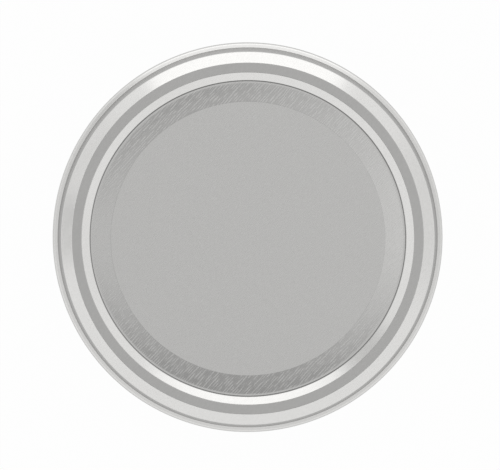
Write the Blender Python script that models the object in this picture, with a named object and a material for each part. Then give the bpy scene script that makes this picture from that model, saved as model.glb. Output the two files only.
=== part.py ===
"""A stamped sheet-metal twist-off lid for a glass jar, with the sealing ring inside it.

Metres, +Z up. The lid lies open side down. The origin is the centre of the circle that its curl
stands on, and +Z is its axis. Every shape is a section in the (radius, height) plane, worked out
from the sizes below and taken round the axis.
"""

import math

import bmesh
import bpy

# Sheet metal
SHEET = 0.00018  # thickness of the tinplate

# The sheet's outer face, from the curl inwards
LID_R = 0.0424  # over the curl
FLARE_WIDTH = 0.000675  # slope between the skirt's foot and the curl
FLARE_SLOPE = math.radians(30)
SKIRT_DRAFT = 0.00093  # how much narrower the skirt is at its top
SHOULDER_WIDTH = 0.00244
RING_WIDTH = 0.00207  # flat top ring, the lid's highest face
STEP_WIDTH = 0.00171
RAMP_WIDTH = 0.0023  # steeper half of the shallow slope from the gutter up to the panel
EASE_WIDTH = 0.0023  # its flatter half, next to the panel

# Heights
HEIGHT = 0.0100  # from the bottom of the curl to the top ring
SHOULDER_DROP = 0.0022
STEP_DROP = 0.00105  # from the top ring down to the gutter
RAMP_RISE = 0.00034
EASE_RISE = 0.00018

# Bend radii of the outer face
PANEL_BEND = 0.0015
RAMP_BEND = 0.03  # where the two halves of the shallow slope meet
GUTTER_BEND = 0.00045
STEP_BEND = 0.0003
RING_BEND = 0.00035
SHOULDER_BEND = 0.0005
FLARE_BEND = 0.0003

# The curl: the sheet rolls on from the flare outwards, down and back in under the skirt
CURL_R = 0.00095  # outer radius of the rolled section
CURL_TURN = math.radians(330)  # from the top of the roll to the raw edge

# The lugs, pressed inwards out of the curl to grip the thread of the jar's neck
LUG_COUNT = 6
LUG_REACH = 0.00115  # how far a lug's tip stands inside the curl
LUG_FLATTEN = 0.36  # share of the curl's height that the press takes off
LUG_HALF_BASE = math.radians(9.5)  # from a lug's middle to where it runs out
LUG_HALF_TIP = math.radians(4.5)  # from a lug's middle to the end of its full reach
LUG_FROM = math.radians(100)  # the press moves the roll inwards from this turn on,
LUG_LIFT = math.radians(140)  # flattens it from here on,
LUG_FULL = math.radians(225)  # is at its full reach here,
LUG_FOLD = math.radians(262)  # and eases off from here to the raw edge
LUG_FOLD_BACK = 0.70  # share of the reach that the raw edge does not follow

# The sealing compound in the channel under the top ring
GASKET_GAP = 0.0003  # clearance between the two solids, which touch in the real lid
GASKET_DEPTH = 0.00078  # thickness at the flat seat for the jar's rim
GASKET_LIP = 0.0009  # how far the compound runs down the shoulder, below the seat
GASKET_EDGE = 0.0003  # how far above the seat's level it ends on the step's side
GASKET_BEND = 0.0005

# Fineness of the facets
BEND_STEP = math.radians(22.5)
CURL_STEP = math.radians(30)
GASKET_STEP = math.radians(50)
LUG_STEPS = 8
PLAIN_STEPS = 6  # between one lug and the next
GASKET_SEGMENTS = 60

# Sizes that follow from those above
CURL_CENTRE_R = LID_R - CURL_R
FLARE_FOOT_R = CURL_CENTRE_R + CURL_R * math.sin(FLARE_SLOPE)
SKIRT_R = FLARE_FOOT_R - FLARE_WIDTH
SKIRT_TOP_R = SKIRT_R - SKIRT_DRAFT
RING_OUTER_R = SKIRT_TOP_R - SHOULDER_WIDTH
RING_INNER_R = RING_OUTER_R - RING_WIDTH
GUTTER_R = RING_INNER_R - STEP_WIDTH
EASE_R = GUTTER_R - RAMP_WIDTH
PANEL_R = EASE_R - EASE_WIDTH
FLARE_FOOT_Z = CURL_R * (1 + math.cos(FLARE_SLOPE))
FLARE_Z = FLARE_FOOT_Z + FLARE_WIDTH * math.tan(FLARE_SLOPE)
SHOULDER_Z = HEIGHT - SHOULDER_DROP
GUTTER_Z = HEIGHT - STEP_DROP
EASE_Z = GUTTER_Z + RAMP_RISE
PANEL_Z = EASE_Z + EASE_RISE
LUG_PITCH = math.tau / LUG_COUNT


def clear_scene():
    for item in list(bpy.data.objects):
        bpy.data.objects.remove(item, do_unlink=True)


def make_material(name, colour, roughness, metallic):
    material = bpy.data.materials.new(name)
    material.use_nodes = True
    shader = material.node_tree.nodes["Principled BSDF"]
    shader.inputs["Base Color"].default_value = (*colour, 1.0)
    shader.inputs["Roughness"].default_value = roughness
    shader.inputs["Metallic"].default_value = metallic
    return material


def smoothstep(value, low, high):
    """0 up to low, 1 from high on, and smooth between them."""
    share = min(max((value - low) / (high - low), 0.0), 1.0)
    return share * share * (3 - 2 * share)


def bend(before, corner, after, radius, finest):
    """Points of the arc that rounds a corner, kept within half of each of its two sides."""
    side_in = (before[0] - corner[0], before[1] - corner[1])
    side_out = (after[0] - corner[0], after[1] - corner[1])
    length_in = math.hypot(*side_in)
    length_out = math.hypot(*side_out)
    unit_in = (side_in[0] / length_in, side_in[1] / length_in)
    unit_out = (side_out[0] / length_out, side_out[1] / length_out)
    cosine = unit_in[0] * unit_out[0] + unit_in[1] * unit_out[1]
    between = math.acos(max(-1.0, min(1.0, cosine)))
    turn = math.pi - between
    tangent = min(radius * math.tan(turn / 2), length_in / 2, length_out / 2)
    radius = tangent / math.tan(turn / 2)
    half_angle = between / 2
    to_centre = radius / math.sin(half_angle)
    middle = (unit_in[0] + unit_out[0], unit_in[1] + unit_out[1])
    middle_length = math.hypot(*middle)
    centre = (
        corner[0] + middle[0] / middle_length * to_centre,
        corner[1] + middle[1] / middle_length * to_centre,
    )
    start = (corner[0] + unit_in[0] * tangent, corner[1] + unit_in[1] * tangent)
    cross = unit_in[0] * unit_out[1] - unit_in[1] * unit_out[0]
    sweep = math.copysign(turn, -cross)
    steps = max(1, math.ceil(turn / finest))
    first = math.atan2(start[1] - centre[1], start[0] - centre[0])
    angles = (first + sweep * step / steps for step in range(steps + 1))
    return [
        (centre[0] + radius * math.cos(angle), centre[1] + radius * math.sin(angle))
        for angle in angles
    ]


def rounded(corners, finest):
    """The line through corners of (radius, height, bend), with each inner one rounded to its bend."""
    points = [corners[0][:2]]
    for before, corner, after in zip(corners, corners[1:], corners[2:]):
        points += bend(before[:2], corner[:2], after[:2], corner[2], finest)
    points.append(corners[-1][:2])
    return points


def pressed(turn, press):
    """A point of the rolled section, counted by its turn from the top of the roll.

    A press of 0 leaves the plain curl and 1 makes the middle of a lug: the inner part of the roll
    moves towards the axis and is flattened, and the raw edge lags behind and folds over it.
    """
    inwards = smoothstep(turn, LUG_FROM, LUG_FULL)
    inwards -= LUG_FOLD_BACK * smoothstep(turn, LUG_FOLD, CURL_TURN)
    flatter = LUG_FLATTEN * smoothstep(turn, LUG_LIFT, LUG_FULL)
    radius = CURL_CENTRE_R + CURL_R * math.sin(turn) - press * LUG_REACH * inwards
    height = CURL_R * (1 + math.cos(turn) * (1 - press * flatter))
    return radius, height


def shell_line(press):
    """The sheet's outer face from the axis to the raw edge of the curl."""
    line = rounded(
        [
            (0.0, PANEL_Z, 0.0),
            (PANEL_R, PANEL_Z, PANEL_BEND),
            (EASE_R, EASE_Z, RAMP_BEND),
            (GUTTER_R, GUTTER_Z, GUTTER_BEND),
            (RING_INNER_R, HEIGHT, STEP_BEND),
            (RING_OUTER_R, HEIGHT, RING_BEND),
            (SKIRT_TOP_R, SHOULDER_Z, SHOULDER_BEND),
            (SKIRT_R, FLARE_Z, FLARE_BEND),
            (FLARE_FOOT_R, FLARE_FOOT_Z, 0.0),
        ],
        BEND_STEP,
    )
    rolled = CURL_TURN - FLARE_SLOPE
    steps = round(rolled / CURL_STEP)
    line += [pressed(FLARE_SLOPE + rolled * step / steps, press) for step in range(1, steps + 1)]
    return line


def shell_directions():
    """Pairs of (angle, press) once round the lid: close together across a lug, wider between two."""
    directions = []
    for lug in range(LUG_COUNT):
        middle = lug * LUG_PITCH
        for step in range(LUG_STEPS):
            off = LUG_HALF_BASE * (2 * step / LUG_STEPS - 1)
            directions.append((middle + off, 1 - smoothstep(abs(off), LUG_HALF_TIP, LUG_HALF_BASE)))
        plain = LUG_PITCH - 2 * LUG_HALF_BASE
        for step in range(PLAIN_STEPS):
            directions.append((middle + LUG_HALF_BASE + plain * step / PLAIN_STEPS, 0.0))
    return directions


def around(point, angle):
    """A section's point, turned to its place round the axis."""
    return point[0] * math.cos(angle), point[0] * math.sin(angle), point[1]


def new_object(name, mesh_data, material):
    mesh = bpy.data.meshes.new(name)
    mesh_data.to_mesh(mesh)
    mesh_data.free()
    mesh.materials.append(material)
    mesh.shade_smooth()
    mesh.set_sharp_from_angle(angle=math.radians(35))
    item = bpy.data.objects.new(name, mesh)
    bpy.context.scene.collection.objects.link(item)
    return item


def make_shell(material):
    """The pressing: its outer face as a surface, given the sheet's thickness by Solidify."""
    surface = bmesh.new()
    middle = surface.verts.new((0.0, 0.0, PANEL_Z))
    spokes = []
    for angle, press in shell_directions():
        points = shell_line(press)[1:]
        spokes.append([surface.verts.new(around(point, angle)) for point in points])
    for spoke, following in zip(spokes, spokes[1:] + spokes[:1]):
        surface.faces.new((middle, spoke[0], following[0]))
        for inner in range(len(spoke) - 1):
            surface.faces.new(
                (spoke[inner], spoke[inner + 1], following[inner + 1], following[inner])
            )
    shell = new_object("lid_shell", surface, material)
    wall = shell.modifiers.new("sheet", "SOLIDIFY")
    wall.thickness = SHEET
    wall.offset = -1.0
    wall.use_even_offset = True
    return shell


def crossing(height, corner, run, rise, inset):
    """Where a level meets the line that runs beneath a slope of the sheet, at a distance of inset."""
    slope = math.hypot(run, rise)
    radius = corner[0] + run * (height - corner[1]) / rise
    return radius - math.copysign(inset * slope / rise, run)


def gasket_section():
    """The compound's outline. Its top follows the channel, and its lower face takes the jar's rim."""
    inset = SHEET + GASKET_GAP
    top = HEIGHT - inset
    seat = top - GASKET_DEPTH
    lip = seat - GASKET_LIP
    edge = seat + GASKET_EDGE
    step_corner = (RING_INNER_R, HEIGHT)
    shoulder_corner = (RING_OUTER_R, HEIGHT)

    def under_step(height):
        return crossing(height, step_corner, -STEP_WIDTH, -STEP_DROP, -inset)

    def under_shoulder(height):
        return crossing(height, shoulder_corner, SHOULDER_WIDTH, -SHOULDER_DROP, -inset)

    seat_outer = under_shoulder(seat) - GASKET_BEND
    closed = rounded(
        [
            (0.5 * (under_step(seat) + seat_outer), seat, 0.0),
            (under_step(edge) + GASKET_BEND, seat, GASKET_BEND / 2),
            (under_step(edge), edge, GASKET_BEND / 2),
            (under_step(top), top, GASKET_BEND),
            (under_shoulder(top), top, GASKET_BEND),
            (under_shoulder(lip), lip, GASKET_BEND / 4),
            (seat_outer, seat, 2 * GASKET_BEND),
            (0.5 * (under_step(seat) + seat_outer), seat, 0.0),
        ],
        GASKET_STEP,
    )
    return closed[:-1]


def make_gasket(material):
    """The compound ring: its closed section taken once round the axis."""
    ring = bmesh.new()
    section = gasket_section()
    loops = []
    for segment in range(GASKET_SEGMENTS):
        angle = math.tau * segment / GASKET_SEGMENTS
        loops.append([ring.verts.new(around(point, angle)) for point in section])
    for loop, following in zip(loops, loops[1:] + loops[:1]):
        for here in range(len(section)):
            after = (here + 1) % len(section)
            ring.faces.new((loop[here], loop[after], following[after], following[here]))
    bmesh.ops.recalc_face_normals(ring, faces=ring.faces)
    return new_object("sealing_gasket", ring, material)


def main():
    clear_scene()
    tinplate = make_material("tinplate", (0.62, 0.62, 0.61), 0.30, 1.0)
    compound = make_material("sealing compound", (0.80, 0.78, 0.72), 0.55, 0.0)
    make_shell(tinplate)
    make_gasket(compound)


main()
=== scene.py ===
"""A stamped twist-off jar lid in rolled tinplate, with its sealing compound, on a plain pale table."""

import math

import bmesh
import bpy
from mathutils import Matrix, Vector


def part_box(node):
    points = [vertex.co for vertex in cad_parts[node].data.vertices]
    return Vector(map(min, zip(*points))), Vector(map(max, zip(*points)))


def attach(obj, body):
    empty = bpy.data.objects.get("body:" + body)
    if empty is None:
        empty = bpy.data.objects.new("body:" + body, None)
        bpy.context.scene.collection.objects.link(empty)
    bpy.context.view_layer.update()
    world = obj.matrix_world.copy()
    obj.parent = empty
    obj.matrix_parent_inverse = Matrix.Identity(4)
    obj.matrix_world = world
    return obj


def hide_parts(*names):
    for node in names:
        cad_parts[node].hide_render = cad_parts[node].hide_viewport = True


bl_info = {
    "name": "Twist-off Jar Lid",
    "version": (1, 0, 0),
    "blender": (4, 5, 0),
    "location": "3D View > Sidebar > Jar Lid",
    "description": "Presses a tinplate jar lid, flows in its sealing compound and lights it",
    "category": "Object",
}

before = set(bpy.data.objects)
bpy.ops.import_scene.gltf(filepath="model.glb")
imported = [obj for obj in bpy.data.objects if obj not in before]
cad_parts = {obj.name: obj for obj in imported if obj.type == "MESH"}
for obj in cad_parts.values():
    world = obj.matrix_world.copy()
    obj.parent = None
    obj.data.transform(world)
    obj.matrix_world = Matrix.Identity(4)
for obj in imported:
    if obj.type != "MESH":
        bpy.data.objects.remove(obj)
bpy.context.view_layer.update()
SHELL_LOW, SHELL_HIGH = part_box("lid_shell")
BODY = "root"

BLANK = "blank"  # attribute: where a point lay on the flat round blank, in metres from its centre

# Fineness of the meshes
SEGMENTS = 360
BEND_STEP = math.radians(6)
CURL_STEP = math.radians(7.5)
SUPPORT = 0.00006  # from the end of a bend to the point that keeps the straight beside it flat
SHARP_ANGLE = math.radians(40)

# The press that forms a lug out of the roll, by how far round the roll it works
PRESS_FROM = math.radians(100)  # it moves the roll inwards from this turn on,
PRESS_LIFT = math.radians(140)  # flattens it from here on,
PRESS_FULL = math.radians(225)  # is at its full reach here,
PRESS_FOLD = math.radians(262)  # and eases off from here to the raw edge
FOLD_BACK = 0.70  # share of a lug's reach that the raw edge does not follow

# Finish of the sheet and the compound
EDGE_BLUR = 0.00012  # half the run from one finish of the sheet to the next
CREASE_BLUR = 0.00005  # the same at the painted shade line in the gutter's crease
EDGE_TINT = (0.7, 0.7, 0.7, 1.0)  # tin is a little darker than white where it is seen edge on
DULL_RING_AND_SHADED_RIM = 0.55  # share of the full darkening that the ring gets as a duller worked finish, and the skirt and flare get as painted shade
SKIRT_SHADE = 0.45  # more painted shade that the skirt gets on top of that
FOLD_SHADE = 0.25  # how dark the painted shade line in the fold round the panel is, as a share of the one in the gutter's crease
BAND_SHARE = 0.2  # share of the streaks in the sheet's colour that comes from the mill bands
UNEVEN = 0.06  # how much the roughness wavers, both with the mottle and with the mill bands
GRAIN_DEPTH = 0.1  # depth of the rolling grain, as a share of a scratch's depth
LACQUER_DEPTH = 0.000004  # depth of the grain that shows through the lacquer
SKIN_DEPTH = 0.00002  # depth of the compound's cast skin

# The photograph's frame
IMAGE_WIDTH = 500
IMAGE_HEIGHT = 470
OBJECT_CENTRE_PX = (247.65, 237.33)  # where the curl's centre lies
OBJECT_RADIUS_PX = 194.8

# The light tent's roof. Each run is counted from 0 straight up to 1 at the horizon, on its own side.
ROOF_EDGE = (0.57, 0.67)  # sines of the elevations where the walls end and where the roof is whole
ROOF_RIGHT = 0.13  # how much brighter the roof is towards +X
RIGHT_RUN = (0.0, 0.35)
ROOF_BEYOND = 0.15  # how much duller it is towards +Y
BEYOND_RUN = (-0.02, 0.3)
ROOF_FOLD = 0.31  # how much duller it is in the fold across it, towards -Y
FOLD_IN_RUN = (0.07, 0.32)
FOLD_OUT_RUN = (0.45, 0.75)

# Softer spots on the tent's walls: azimuth, elevation, inner and outer reach in degrees, change
TENT_PATCHES = (
    (5, 4, 10, 32, -0.12),
    (125, 66, 5, 20, -0.10),
    (157, 2, 8, 24, -0.10),
    (179, 4, 5, 14, -0.22),
    (138, 33, 4, 12, -0.32),
    (300, 48, 6, 22, -0.18),
)


def length(name, description, default):
    """A size that a user may change, in metres."""
    return bpy.props.FloatProperty(
        name=name, description=description, default=default, min=0.0, precision=5, unit="LENGTH"
    )


def turn(name, description, degrees):
    """An angle that a user may change."""
    return bpy.props.FloatProperty(
        name=name, description=description, default=math.radians(degrees), subtype="ANGLE"
    )


def share(name, description, default):
    """A plain number that a user may change."""
    return bpy.props.FloatProperty(name=name, description=description, default=default, min=0.0)


def colour(name, description, default):
    """A colour that a user may change."""
    return bpy.props.FloatVectorProperty(
        name=name, description=description, default=default, subtype="COLOR", size=3, min=0.0, max=1.0
    )


class JarLidShape(bpy.types.PropertyGroup):
    """Sizes of the pressing's outer face and of the compound under it."""

    height: length("Height", "From the foot of the curl to the top ring", SHELL_HIGH.z)
    radius: length("Radius", "Outer radius over the curl", SHELL_HIGH.x)
    sheet: length("Sheet", "Thickness of the tinplate", 0.00018)
    curl: length("Curl", "Outer radius of the rolled section", 0.00095)
    flare_width: length("Flare width", "Width of the flare from the skirt out to the curl", 0.000675)
    flare_slope: turn("Flare slope", "Slope of the flare between skirt and curl", 30)
    skirt_draft: length("Skirt draft", "How much narrower the skirt is at its top", 0.00093)
    shoulder_width: length("Shoulder width", "Width of the sloping shoulder, seen from above", 0.00244)
    shoulder_drop: length("Shoulder drop", "Height of the sloping shoulder", 0.0022)
    ring_width: length("Ring width", "Width of the flat top ring", 0.00207)
    step_width: length("Step width", "Width of the slope between ring and gutter", 0.00171)
    step_drop: length("Step drop", "From the top ring down to the gutter", 0.00105)
    gutter_floor: length("Gutter floor", "Flat bottom of the gutter", 0.00055)
    floor_bend: length("Floor bend", "Bend between the gutter's bottom and the slope inside it", 0.0015)
    ramp_width: length("Ramp width", "Width of that bottom and the steeper slope beside it", 0.0023)
    ramp_rise: length("Ramp rise", "Height of the steeper slope", 0.00025)
    ease_width: length("Ease width", "Width of the flatter slope next to the panel", 0.0023)
    ease_rise: length("Ease rise", "Height of the flatter slope", 0.00027)
    panel_bend: length("Panel bend", "Bend at the edge of the panel", 0.0015)
    ramp_bend: length("Ramp bend", "Bend between the steeper and the flatter slope", 0.03)
    gutter_bend: length("Gutter bend", "Bend between the gutter's bottom and the step", 0.00045)
    step_bend: length("Step bend", "Bend between step and ring", 0.0003)
    ring_bend: length("Ring bend", "Bend between ring and shoulder", 0.00035)
    shoulder_bend: length("Shoulder bend", "Bend between shoulder and skirt", 0.0005)
    flare_bend: length("Flare bend", "Bend between skirt and flare", 0.0003)
    curl_turn: turn("Curl turn", "How far round the curl is rolled", 330)
    lugs: bpy.props.IntProperty(name="Lugs", description="How many lugs grip the thread", default=6, min=1)
    lug_reach: length("Lug reach", "How far a lug's tip stands inside the curl", 0.00115)
    lug_flatten: share("Lug flattening", "Share of the curl's height that the press takes off", 0.36)
    lug_base: turn("Lug base", "From a lug's middle to where it runs out", 9.5)
    lug_tip: turn("Lug tip", "From a lug's middle to the end of its full reach", 4.5)
    compound_gap: length("Compound gap", "Hair's breadth between the compound and the sheet", 0.00002)
    compound_depth: length("Compound depth", "From the top ring down to the compound's flat seat", 0.00126)
    compound_lip: length("Compound lip", "How far the compound runs down the shoulder", 0.0009)
    compound_edge: length("Compound edge", "How far above its seat it ends on the step's side", 0.0003)
    compound_bend: length("Compound bend", "Rounding of the compound's lower side", 0.0005)


class JarLidFinish(bpy.types.PropertyGroup):
    """Colours and finish of the tinplate, its lacquered inside and the compound."""

    tin: colour("Tinplate", "Colour that the bare metal reflects", (0.744, 0.740, 0.727))
    tin_dark: colour("Tinplate grain", "Colour in the bottom of the rolling grain", (0.701, 0.696, 0.684))
    roughness: share("Roughness", "Roughness of the rolled sheet", 0.2)
    ring_roughness: share("Ring roughness", "Roughness of the top ring, dulled by the press", 0.42)
    skirt_roughness: share("Skirt roughness", "Roughness of the drawn skirt and its flare", 0.3)
    # Darker tin: a duller worked finish on the top ring, and painted shade on the skirt and flare
    dulled_and_shaded: share("Dulled", "Share of its brightness that the most worked metal keeps", 0.8)
    # Painted shade: the gutter's crease is coloured darker in a thin line of this width
    shaded_crease: share("Crease", "Share of its brightness that the crease in the gutter keeps", 0.4)
    crease_width: length("Crease width", "Width of the dark crease in the gutter", 0.0002)
    grain_turn: turn("Grain direction", "Direction that the sheet was rolled in", 48)
    grain_width: length("Grain width", "Width of one line of the rolling grain", 0.00018)
    grain_run: length("Grain run", "Length of one line of the rolling grain", 0.001)
    band_width: length("Band width", "Width of one of the faint mill bands", 0.00162)
    band_run: length("Band run", "Length of one of the faint mill bands", 0.03)
    mottle: length("Mottle", "Size of the soft spots in the sheet's finish", 0.0025)
    scratch_pitch: length("Scratch pitch", "From one scratch to the next beside it", 0.0005)
    scratch_run: length("Scratch run", "Length of one of the scratches", 0.00167)
    scratch_depth: length("Scratch depth", "Depth of the scratches", 0.000005)
    scratch_roughness: share("Scratch roughness", "Roughness inside the scratches", 0.45)
    scratch_tone: share("Scratch tone", "How much brighter the metal is in the scratches", 1.1)
    slope_scratches: share("Slope scratches", "Strength of the scratches beside the panel", 0.75)
    panel_scratches: share("Panel scratches", "Their strength on the panel, as a share of that", 0.7)
    lacquer: colour("Lacquer", "Colour of the lacquered inside", (0.72, 0.69, 0.61))
    lacquer_coat: share("Lacquer coat", "Strength of the lacquer's own shine", 0.7)
    lacquer_roughness: share("Lacquer roughness", "Roughness of the lacquer's skin", 0.12)
    lacquer_flow: length("Lacquer flow", "Size of the soft waves in the lacquer", 0.02)
    compound: colour("Compound", "Colour of the sealing compound", (0.78, 0.755, 0.69))
    compound_roughness: share("Compound roughness", "Least roughness of the compound", 0.42)
    compound_skin: length("Compound skin", "Size of the grain in the compound's cast skin", 1 / 900)
    compound_patches: length("Compound patches", "Size of its paler and darker patches", 1 / 120)


class JarLidStudio(bpy.types.PropertyGroup):
    """Floor, light and camera."""

    floor: colour("Floor", "Colour of the floor", (0.86, 0.86, 0.86))
    floor_white: share("Floor white", "Share of plain white in the floor that the camera sees", 0.97)
    floor_glow: share("Floor glow", "Share of plain white in the floor that the lid mirrors", 0.8)
    # Painted shadow: close to the lid the floor glows less in the lid's reflections, which also lets its
    # real shadow show
    floor_shadow_dip: share("Floor dip", "How much smaller that share is close to the lid", 0.1)
    dip_from: length("Dip from", "Radius up to which it is smaller", 0.043)
    dip_to: length("Dip to", "Radius from which it is whole again", 0.065)
    camera_distance: length("Camera distance", "From the floor up to the camera", 0.85)
    zenith: share("Overhead light", "Brightness of the tent straight above the lid", 0.67)
    horizon: share("Low light", "Brightness of the tent near the horizon", 1.0)
    softbox: share("Softbox", "Brightness that the softbox beyond the lid adds to the tent", 0.42)


class Wire:
    """A number on its way through a node tree. An expression on wires adds its Math nodes."""

    def __init__(self, tree, socket):
        self.tree = tree
        self.socket = socket

    def __add__(self, other):
        return self.tree.math("ADD", self, other)

    __radd__ = __add__

    def __sub__(self, other):
        return self.tree.math("SUBTRACT", self, other)

    def __rsub__(self, other):
        return self.tree.math("SUBTRACT", other, self)

    def __mul__(self, other):
        return self.tree.math("MULTIPLY", self, other)

    __rmul__ = __mul__

    def sine(self):
        return self.tree.math("SINE", self)

    def smooth(self, low, high):
        """0 up to low and 1 from high on, with an eased run between them."""
        return self.tree.wire(
            "ShaderNodeMapRange",
            {"interpolation_type": "SMOOTHSTEP"},
            {"Value": self, "From Min": low, "From Max": high},
        )

    def between(self, low, high, blur):
        """1 between low and high and 0 outside them, blurred a little at both."""
        return self.smooth(low - blur, low + blur) * (1 - self.smooth(high - blur, high + blur))


class Tree:
    """A node tree whose nodes all come from add: settings first, then values and links."""

    def __init__(self, owner):
        owner.use_nodes = True
        self.tree = owner.node_tree
        self.tree.nodes.clear()

    def add(self, kind, settings=None, inputs=None):
        node = self.tree.nodes.new(kind)
        for name, value in (settings or {}).items():
            setattr(node, name, value)
        for name, value in (inputs or {}).items():
            if isinstance(value, Wire):
                value = value.socket
            if isinstance(value, bpy.types.NodeSocket):
                self.tree.links.new(value, node.inputs[name])
            else:
                node.inputs[name].default_value = value
        return node

    def wire(self, kind, settings=None, inputs=None, output=0):
        return Wire(self, self.add(kind, settings, inputs).outputs[output])

    def math(self, operation, *values):
        return self.wire("ShaderNodeMath", {"operation": operation}, dict(enumerate(values)))

    def parts(self, vector):
        """The three parts of a vector."""
        outputs = self.add("ShaderNodeSeparateXYZ", None, {"Vector": vector}).outputs
        return [Wire(self, outputs[name]) for name in "XYZ"]

    def reach(self, vector):
        """How long a vector is."""
        return self.wire("ShaderNodeVectorMath", {"operation": "LENGTH"}, {0: vector}, "Value")

    def noise(self, place, run, width, detail):
        """Soft noise in cells of one length along X and one width across it, in metres."""
        inputs = {0: place, 1: (1 / run, 1 / width, 1 / width)}
        cells = self.add("ShaderNodeVectorMath", {"operation": "MULTIPLY"}, inputs).outputs[0]
        return self.wire("ShaderNodeTexNoise", None, {"Vector": cells, "Scale": 1.0, "Detail": detail})

    def mixed(self, factor, first, second):
        """A colour between two others."""
        node = self.add("ShaderNodeMix", {"data_type": "RGBA"}, {"Factor": factor})
        for name, value in (("A", first), ("B", second)):
            socket = next(s for s in node.inputs if s.name == name and s.type == "RGBA")
            if isinstance(value, bpy.types.NodeSocket):
                self.tree.links.new(value, socket)
            else:
                socket.default_value = (*value, 1.0)
        return next(s for s in node.outputs if s.type == "RGBA")

    def bumped(self, height, depth, strength=1.0):
        """A normal tilted by a height between 0 and 1, over a depth in metres."""
        inputs = {"Strength": strength, "Distance": depth, "Height": height}
        return self.add("ShaderNodeBump", None, inputs).outputs[0]

    def show(self, shader, output="ShaderNodeOutputMaterial"):
        """Link a shader to the tree's output."""
        self.add(output, None, {"Surface": shader.outputs[0]})

    def show_principled(self, inputs):
        """Link one Principled shader with these inputs to the tree's output."""
        self.show(self.add("ShaderNodeBsdfPrincipled", None, inputs))


def arc(before, corner, after, radius):
    """The points that round one corner, with a support point on the straight to each side of it."""
    here = Vector(corner)
    back = Vector(before) - here
    ahead = Vector(after) - here
    bend = math.pi - back.angle(ahead)
    tangent = min(radius * math.tan(bend / 2), back.length / 2, ahead.length / 2)
    radius = tangent / math.tan(bend / 2)
    middle = (back.normalized() + ahead.normalized()).normalized()
    centre = here + middle * math.hypot(radius, tangent)
    start = here + back.normalized() * tangent
    end = here + ahead.normalized() * tangent
    sweep = (start - centre).angle_signed(end - centre)
    steps = max(2, math.ceil(bend / BEND_STEP))
    points = [
        centre + Matrix.Rotation(-sweep * index / steps, 2) @ (start - centre)
        for index in range(steps + 1)
    ]
    return [start + back.normalized() * SUPPORT, *points, end + ahead.normalized() * SUPPORT]


def rounded(corners, closed):
    """The line through corners given as (across, up, radius of the bend), with every bend rounded."""
    ends = 0 if closed else 1
    points = []
    for index in range(ends, len(corners) - ends):
        before = corners[index - 1]
        corner = corners[index]
        after = corners[(index + 1) % len(corners)]
        points += arc(before[:2], corner[:2], after[:2], corner[2])
    return points


def eased(value, low, high):
    """0 up to low, 1 from high on, and smooth between them."""
    part = min(max((value - low) / (high - low), 0.0), 1.0)
    return part * part * (3 - 2 * part)


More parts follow.
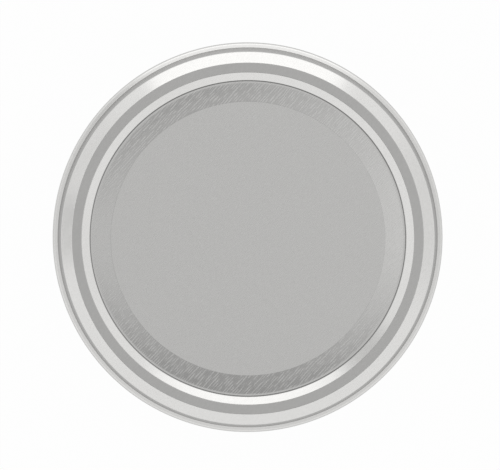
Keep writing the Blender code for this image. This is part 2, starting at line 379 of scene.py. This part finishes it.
class Profile:
    """The section of the pressing's outer face, worked out from the sizes of the shape."""

    def __init__(self, shape):
        self.shape = shape
        self.curl_centre = shape.radius - shape.curl
        self.flare_foot = self.curl_centre + shape.curl * math.sin(shape.flare_slope)
        self.skirt = self.flare_foot - shape.flare_width
        self.skirt_top = self.skirt - shape.skirt_draft
        self.ring_outer = self.skirt_top - shape.shoulder_width
        self.ring_inner = self.ring_outer - shape.ring_width
        self.gutter = self.ring_inner - shape.step_width
        self.ease = self.gutter - shape.ramp_width
        self.panel = self.ease - shape.ease_width
        self.shoulder_z = shape.height - shape.shoulder_drop
        self.gutter_z = shape.height - shape.step_drop
        self.ease_z = self.gutter_z + shape.ramp_rise
        self.panel_z = self.ease_z + shape.ease_rise
        self.flare_foot_z = shape.curl * (1 + math.cos(shape.flare_slope))
        self.flare_z = self.flare_foot_z + shape.flare_width * math.tan(shape.flare_slope)

    def top(self):
        """From the middle of the panel out to the foot of the flare."""
        shape = self.shape
        line = [
            (0.0, self.panel_z, 0.0),
            (self.panel, self.panel_z, shape.panel_bend),
            (self.ease, self.ease_z, shape.ramp_bend),
            (self.gutter - shape.gutter_floor, self.gutter_z, shape.floor_bend),
            (self.gutter, self.gutter_z, shape.gutter_bend),
            (self.ring_inner, shape.height, shape.step_bend),
            (self.ring_outer, shape.height, shape.ring_bend),
            (self.skirt_top, self.shoulder_z, shape.shoulder_bend),
            (self.skirt, self.flare_z, shape.flare_bend),
            (self.flare_foot, self.flare_foot_z, 0.0),
        ]
        return rounded(line, closed=False)

    def foot(self, press):
        """The rolled curl, pressed inwards by a share of a lug."""
        shape = self.shape
        turn_left = shape.curl_turn - shape.flare_slope
        steps = math.ceil(turn_left / CURL_STEP)
        points = []
        for index in range(steps + 1):
            rolled = shape.flare_slope + turn_left * index / steps
            inwards = eased(rolled, PRESS_FROM, PRESS_FULL)
            inwards -= FOLD_BACK * eased(rolled, PRESS_FOLD, shape.curl_turn)
            flatter = shape.lug_flatten * eased(rolled, PRESS_LIFT, PRESS_FULL)
            across = self.curl_centre + shape.curl * math.sin(rolled)
            across -= press * shape.lug_reach * inwards
            up = shape.curl * (1 + math.cos(rolled) * (1 - press * flatter))
            points.append(Vector((across, up)))
        return points

    def compound(self):
        """The closed section of the compound, which fills the channel under the ring."""
        shape = self.shape
        inset = shape.sheet + shape.compound_gap
        top = shape.height - inset
        seat = shape.height - shape.compound_depth
        lip = seat - shape.compound_lip
        edge = seat + shape.compound_edge

        def under(ring_edge, run, drop, level):
            """Where a level meets the line under one of the two slopes beside the ring."""
            radius = ring_edge + run * (shape.height - level) / drop
            return radius - math.copysign(inset * math.hypot(run, drop) / drop, run)

        def under_step(level):
            return under(self.ring_inner, -shape.step_width, shape.step_drop, level)

        def under_shoulder(level):
            return under(self.ring_outer, shape.shoulder_width, shape.shoulder_drop, level)

        bend = shape.compound_bend
        line = [
            (under_step(edge) + bend, seat, bend / 2),
            (under_step(edge), edge, bend / 2),
            (under_step(top), top, shape.step_bend - inset),
            (under_shoulder(top), top, shape.ring_bend - inset),
            (under_shoulder(lip), lip, bend / 4),
            (under_shoulder(seat) - bend, seat, 2 * bend),
        ]
        return rounded(line, closed=True)

    def along(self, radius):
        """How far along the sheet from its middle the outer face reaches a radius."""
        line = [Vector((0.0, self.panel_z)), *self.top(), *self.foot(0.0)]
        run = 0.0
        for here, after in zip(line, line[1:]):
            if after.x >= radius:
                return run + (after - here).length * (radius - here.x) / (after.x - here.x)
            run += (after - here).length
        raise ValueError(f"no part of the lid's top is as wide as {radius} m")


def lug_press(shape, angle):
    """1 at the middle of a lug, 0 between two lugs."""
    pitch = math.tau / shape.lugs
    off = abs((angle + pitch / 2) % pitch - pitch / 2)
    return 1.0 - eased(off, shape.lug_tip, shape.lug_base)


def shown(name, surface, materials):
    """A new smooth-shaded object from a bmesh, which is freed."""
    mesh = bpy.data.meshes.new(name)
    surface.to_mesh(mesh)
    surface.free()
    for material in materials:
        mesh.materials.append(material)
    mesh.shade_smooth()
    mesh.set_sharp_from_angle(angle=SHARP_ANGLE)
    item = bpy.data.objects.new(name, mesh)
    bpy.context.scene.collection.objects.link(item)
    return item


def revolved(sections, closed, middle=None):
    """A surface through sections at even turns round the axis, with each point's place on the blank.

    A middle is the height of the point on the axis that an open surface is closed with.
    """
    surface = bmesh.new()
    layer = surface.verts.layers.float_vector.new(BLANK)
    rings = []
    for index, section in enumerate(sections):
        angle = math.tau * index / len(sections)
        across = Vector((math.cos(angle), math.sin(angle), 0.0))
        run = section[0].x
        before = section[0]
        ring = []
        for point in section:
            run += (point - before).length
            before = point
            vertex = surface.verts.new(across * point.x + Vector((0.0, 0.0, point.y)))
            vertex[layer] = across * run
            ring.append(vertex)
        rings.append(ring)
    if middle is not None:
        hub = surface.verts.new((0.0, 0.0, middle))
    for ring, following in zip(rings, rings[1:] + rings[:1]):
        if middle is not None:
            surface.faces.new((hub, ring[0], following[0]))
        count = len(ring) if closed else len(ring) - 1
        for here in range(count):
            after = (here + 1) % len(ring)
            surface.faces.new((ring[here], ring[after], following[after], following[here]))
    surface.normal_update()
    return surface


def rolled(tree, finish):
    """A point's place on the flat blank, and the same place counted along and across the grain."""
    blank = tree.add("ShaderNodeAttribute", {"attribute_name": BLANK}).outputs["Vector"]
    turned = tree.add(
        "ShaderNodeVectorRotate",
        {"rotation_type": "Z_AXIS", "invert": True},
        {"Vector": blank, "Angle": finish.grain_turn},
    )
    return blank, turned.outputs[0]


def rolling_grain(tree, finish, along):
    """The fine straight lines that the mill's rolls leave."""
    return tree.noise(along, finish.grain_run, finish.grain_width, 1.0)


def scratched_lines(tree, finish, along):
    """Fine scratches side by side along the grain: 1 in a scratch and 0 beside it.

    They are the crests of a wave across the grain, which wanders a little and is broken into lengths.
    """
    run = finish.scratch_run
    pitch = finish.scratch_pitch
    sideways = tree.parts(along)[1]
    wander = 8.0 * tree.noise(along, 4 * run, 4 * pitch, 0.0)
    wave = (sideways * (math.tau / pitch) + wander).sine()
    lengths = tree.noise(along, run, 0.8 * pitch, 0.0)
    return wave.smooth(-0.6, 0.9) * lengths.smooth(0.35, 0.6)


def tinplate(name, finish, profile):
    """Bright rolled tinplate: fine grain and scratches, a darker top ring where the press has worked it,
    and painted shade on the skirt and flare, in the gutter's crease and round the panel's edge.
    """
    material = bpy.data.materials.new(name)
    tree = Tree(material)
    blank, along = rolled(tree, finish)
    distance = tree.reach(blank)

    def stretch(inner, outer):
        """1 on the sheet between two radii of the lid, and 0 elsewhere."""
        return distance.between(profile.along(inner), profile.along(outer), EDGE_BLUR)

    ring = stretch(profile.ring_inner, profile.ring_outer)
    skirt = stretch(profile.skirt_top, profile.skirt)
    rim = stretch(profile.skirt_top, profile.flare_foot)
    gutter = profile.along(profile.gutter)
    panel = profile.along(profile.panel)
    # Thin lines of painted shade: in the gutter's crease and in the fold round the panel's edge
    shaded_crease = distance.between(gutter - finish.crease_width, gutter, CREASE_BLUR)
    shaded_fold = distance.between(panel, panel + finish.crease_width / 2, CREASE_BLUR)

    grain = rolling_grain(tree, finish, along)
    bands = tree.noise(along, finish.band_run, finish.band_width, 2.0)
    mottle = tree.noise(blank, finish.mottle, finish.mottle, 3.0)
    on_slope = distance.smooth(panel - EDGE_BLUR, panel + EDGE_BLUR)
    strength = finish.panel_scratches + (1 - finish.panel_scratches) * on_slope
    strength = strength * (1 - distance.smooth(gutter - EDGE_BLUR, gutter))
    scratches = finish.slope_scratches * scratched_lines(tree, finish, along) * strength

    tin = Vector(finish.tin)
    tin_dark = Vector(finish.tin_dark)
    streaks = ((1 - BAND_SHARE) * grain + BAND_SHARE * bands).smooth(0.3, 0.7)
    bright = tree.mixed(streaks, tin_dark, tin)
    # Darker tin: a duller worked finish on the ring, and painted shade on the skirt and flare for the dark
    # band above the curl
    dulled_and_shaded = tree.mixed(streaks, finish.dulled_and_shaded * tin_dark, finish.dulled_and_shaded * tin)
    plain = tree.mixed(DULL_RING_AND_SHADED_RIM * (ring + rim) + SKIRT_SHADE * skirt, bright, dulled_and_shaded)
    scratched = tree.mixed(scratches, plain, finish.scratch_tone * tin)

    roughness = finish.roughness + ring * (finish.ring_roughness - finish.roughness)
    roughness = roughness + rim * (finish.skirt_roughness - finish.roughness)
    roughness = roughness + scratches * (finish.scratch_roughness - finish.roughness)
    tree.show_principled(
        {
            # the crease and fold lines darken the colour as painted shade
            "Base Color": tree.mixed(shaded_crease + FOLD_SHADE * shaded_fold, scratched, finish.shaded_crease * tin),
            "Metallic": 1.0,
            "Specular Tint": EDGE_TINT,
            "Roughness": roughness + UNEVEN * (mottle - 0.5) + UNEVEN * (bands - 0.5),
            "Normal": tree.bumped(scratches + GRAIN_DEPTH * grain, finish.scratch_depth),
        }
    )
    return material


def lacquered(name, finish):
    """The pressing's inside: the same sheet under a thin clear lacquer with a faint warm tint."""
    material = bpy.data.materials.new(name)
    tree = Tree(material)
    blank, along = rolled(tree, finish)
    grain = rolling_grain(tree, finish, along)
    flow = tree.noise(blank, finish.lacquer_flow, finish.lacquer_flow, 1.0)
    thicker = 0.975 * Vector(finish.lacquer)
    tree.show_principled(
        {
            "Base Color": tree.mixed(flow.smooth(0.35, 0.65), thicker, finish.lacquer),
            "Metallic": 1.0,
            "Specular Tint": EDGE_TINT,
            "Roughness": finish.roughness + 0.1 * grain,
            "Coat Weight": finish.lacquer_coat,
            "Coat Roughness": finish.lacquer_roughness,
            "Normal": tree.bumped(grain, LACQUER_DEPTH, strength=0.5),
        }
    )
    return material


def sealing_compound(name, finish):
    """Flowed-in sealing compound: pale, soft and smooth, with a faint cast skin."""
    material = bpy.data.materials.new(name)
    tree = Tree(material)
    place = tree.add("ShaderNodeTexCoord").outputs["Object"]
    skin = tree.noise(place, finish.compound_skin, finish.compound_skin, 4.0)
    patches = tree.noise(place, finish.compound_patches, finish.compound_patches, 2.0)
    darker = 0.9 * Vector(finish.compound)
    tree.show_principled(
        {
            "Base Color": tree.mixed(patches.smooth(0.3, 0.7), darker, finish.compound),
            "Roughness": finish.compound_roughness + 0.15 * patches,
            "Normal": tree.bumped(skin, SKIN_DEPTH, strength=0.4),
        }
    )
    return material


class JARLID_OT_press_shell(bpy.types.Operator):
    """Press the lid's sheet metal: panel, gutter, top ring, shoulder, skirt, curl and lugs"""

    bl_idname = "jarlid.press_shell"
    bl_label = "Press Shell"

    def execute(self, context):
        shape = context.scene.jar_lid_shape
        finish = context.scene.jar_lid_finish
        profile = Profile(shape)
        top = profile.top()
        sections = []
        for index in range(SEGMENTS):
            press = lug_press(shape, math.tau * index / SEGMENTS)
            sections.append(top + profile.foot(press))
        surface = revolved(sections, closed=False, middle=profile.panel_z)
        outside = tinplate("tinplate", finish, profile)
        inside = lacquered("lacquered inside", finish)
        shell = shown("pressed_shell", surface, [outside, inside])
        wall = shell.modifiers.new("sheet", "SOLIDIFY")
        wall.thickness = shape.sheet
        wall.offset = -1.0
        wall.use_even_offset = True
        wall.material_offset = 1  # the wall's other face takes the second material
        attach(shell, BODY)
        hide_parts("lid_shell")
        return {"FINISHED"}


class JARLID_OT_flow_compound(bpy.types.Operator):
    """Flow the sealing compound into the channel under the top ring"""

    bl_idname = "jarlid.flow_compound"
    bl_label = "Flow Compound"

    def execute(self, context):
        finish = context.scene.jar_lid_finish
        section = Profile(context.scene.jar_lid_shape).compound()
        surface = revolved([section] * SEGMENTS, closed=True)
        ring = shown("compound_ring", surface, [sealing_compound("sealing compound", finish)])
        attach(ring, BODY)
        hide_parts("sealing_gasket")
        return {"FINISHED"}


def studio_floor(studio):
    """A wide pale floor that shows white, keeps the lid's shadow and glows in the lid's reflections, a
    little less close to the lid as a partly painted shadow.
    """
    half_side = 1.5
    surface = bmesh.new()
    bmesh.ops.create_grid(surface, x_segments=8, y_segments=8, size=half_side)
    material = bpy.data.materials.new("pale floor")
    tree = Tree(material)
    rays = tree.add("ShaderNodeLightPath").outputs
    seen = Wire(tree, rays["Is Camera Ray"])
    mirrored = Wire(tree, rays["Is Glossy Ray"]) + Wire(tree, rays["Is Transmission Ray"])
    distance = tree.reach(tree.add("ShaderNodeTexCoord").outputs["Object"])
    # A painted shadow ring round the lid, partly real: the floor glows less here in reflections, so its
    # diffuse shadow shows through more
    painted_shadow_ring = 1 - distance.smooth(studio.dip_from, studio.dip_to)
    white_share = studio.floor_white * seen + (studio.floor_glow - studio.floor_shadow_dip * painted_shadow_ring) * mirrored
    matt = tree.add("ShaderNodeBsdfDiffuse", None, {"Color": (*studio.floor, 1.0)})
    white = tree.add("ShaderNodeEmission", None, {"Color": (1.0, 1.0, 1.0, 1.0), "Strength": 1.0})
    shaders = {0: white_share, 1: matt.outputs[0], 2: white.outputs[0]}
    tree.show(tree.add("ShaderNodeMixShader", None, shaders))
    floor = shown("studio_floor", surface, [material])
    floor.location.z = SHELL_LOW.z


def aim(azimuth, elevation):
    """The direction towards a point of the sky: azimuth from +X towards +Y, elevation above the floor."""
    flat = math.cos(math.radians(elevation))
    return Vector(
        (
            flat * math.cos(math.radians(azimuth)),
            flat * math.sin(math.radians(azimuth)),
            math.sin(math.radians(elevation)),
        )
    )


def studio_tent(studio):
    """A light tent: bright walls, a duller roof and soft patches where its panels meet."""
    world = bpy.data.worlds.new("light tent")
    bpy.context.scene.world = world
    tree = Tree(world)
    towards = tree.add("ShaderNodeTexCoord").outputs["Generated"]
    right, beyond, up = tree.parts(towards)

    def patch(azimuth, elevation, inner, outer):
        """1 within inner degrees of a direction, and 0 from outer degrees on."""
        inputs = {0: towards, 1: aim(azimuth, elevation)}
        facing = tree.wire("ShaderNodeVectorMath", {"operation": "DOT_PRODUCT"}, inputs, "Value")
        return facing.smooth(math.cos(math.radians(outer)), math.cos(math.radians(inner)))

    nearer = 0 - beyond
    shaded_fold = nearer.smooth(*FOLD_IN_RUN) * (1 - nearer.smooth(*FOLD_OUT_RUN))
    roof = studio.zenith + ROOF_RIGHT * right.smooth(*RIGHT_RUN)
    roof = roof - ROOF_BEYOND * beyond.smooth(*BEYOND_RUN) - ROOF_FOLD * shaded_fold
    light = studio.horizon - (studio.horizon - roof) * up.smooth(*ROOF_EDGE)
    for azimuth, elevation, inner, outer, change in TENT_PATCHES:
        light = light + change * patch(azimuth, elevation, inner, outer)
    inputs = {"Color": (1.0, 1.0, 1.0, 1.0), "Strength": light}
    tree.show(tree.add("ShaderNodeBackground", None, inputs), "ShaderNodeOutputWorld")


def softbox(name, azimuth, elevation, distance, width, height, radiance):
    """A rectangular lamp aimed at the lid, given the brightness that its face shows."""
    lamp = bpy.data.lights.new(name, "AREA")
    lamp.shape = "RECTANGLE"
    lamp.size = width
    lamp.size_y = height
    lamp.energy = radiance * math.pi * width * height
    item = bpy.data.objects.new(name, lamp)
    item.location = aim(azimuth, elevation) * distance
    item.rotation_euler = item.location.to_track_quat("Z", "Y").to_euler()
    bpy.context.scene.collection.objects.link(item)


def studio_camera(studio, radius):
    """A long lens almost straight above the lid, moved a little towards the picture's top and left."""
    data = bpy.data.cameras.new("camera")
    pixel = radius / OBJECT_RADIUS_PX
    data.sensor_width = 36.0
    data.lens = data.sensor_width * studio.camera_distance / (IMAGE_WIDTH * pixel)
    data.clip_start = 0.05
    data.clip_end = 20.0
    camera = bpy.data.objects.new("camera", data)
    target = Vector(
        (
            (IMAGE_WIDTH / 2 - OBJECT_CENTRE_PX[0]) * pixel,
            (OBJECT_CENTRE_PX[1] - IMAGE_HEIGHT / 2) * pixel,
            0.0,
        )
    )
    tilt_up = math.radians(1.8)
    tilt_left = math.radians(0.4)
    offset = Vector((-math.tan(tilt_left), math.tan(tilt_up), 1.0)) * studio.camera_distance
    camera.location = target + offset
    ahead = -offset.normalized()
    right = ahead.cross(Vector((0.0, 1.0, 0.0))).normalized()
    above = right.cross(ahead)
    camera.rotation_euler = Matrix((right, above, -ahead)).transposed().to_euler()
    bpy.context.scene.collection.objects.link(camera)
    bpy.context.scene.camera = camera


class JARLID_OT_set_studio(bpy.types.Operator):
    """Set the pale floor, the light tent, the softbox and the camera"""

    bl_idname = "jarlid.set_studio"
    bl_label = "Set Studio"

    def execute(self, context):
        studio = context.scene.jar_lid_studio
        context.scene.view_settings.view_transform = "Standard"
        studio_floor(studio)
        studio_tent(studio)
        softbox(
            "softbox",
            azimuth=90,
            elevation=19,
            distance=0.8,
            width=1.05,
            height=0.54,
            radiance=studio.softbox,
        )
        studio_camera(studio, context.scene.jar_lid_shape.radius)
        return {"FINISHED"}


class JARLID_PT_sidebar(bpy.types.Panel):
    """Steps and sizes of the jar lid, in the 3D view's sidebar"""

    bl_idname = "JARLID_PT_sidebar"
    bl_label = "Jar Lid"
    bl_space_type = "VIEW_3D"
    bl_region_type = "UI"
    bl_category = "Jar Lid"

    def draw(self, context):
        layout = self.layout
        for step in STEPS:
            layout.operator(step.bl_idname)
        for group in GROUPS:
            box = layout.box()
            for name in group.__annotations__:
                box.prop(getattr(context.scene, GROUPS[group]), name)


STEPS = (JARLID_OT_press_shell, JARLID_OT_flow_compound, JARLID_OT_set_studio)
GROUPS = {
    JarLidShape: "jar_lid_shape",
    JarLidFinish: "jar_lid_finish",
    JarLidStudio: "jar_lid_studio",
}


def register():
    for item in (*GROUPS, *STEPS, JARLID_PT_sidebar):
        bpy.utils.register_class(item)
    for group, name in GROUPS.items():
        setattr(bpy.types.Scene, name, bpy.props.PointerProperty(type=group))


def unregister():
    for name in GROUPS.values():
        delattr(bpy.types.Scene, name)
    for item in reversed((*GROUPS, *STEPS, JARLID_PT_sidebar)):
        bpy.utils.unregister_class(item)


def main():
    register()
    bpy.ops.jarlid.press_shell()
    bpy.ops.jarlid.flow_compound()
    bpy.ops.jarlid.set_studio()


if __name__ == "__main__":
    main()
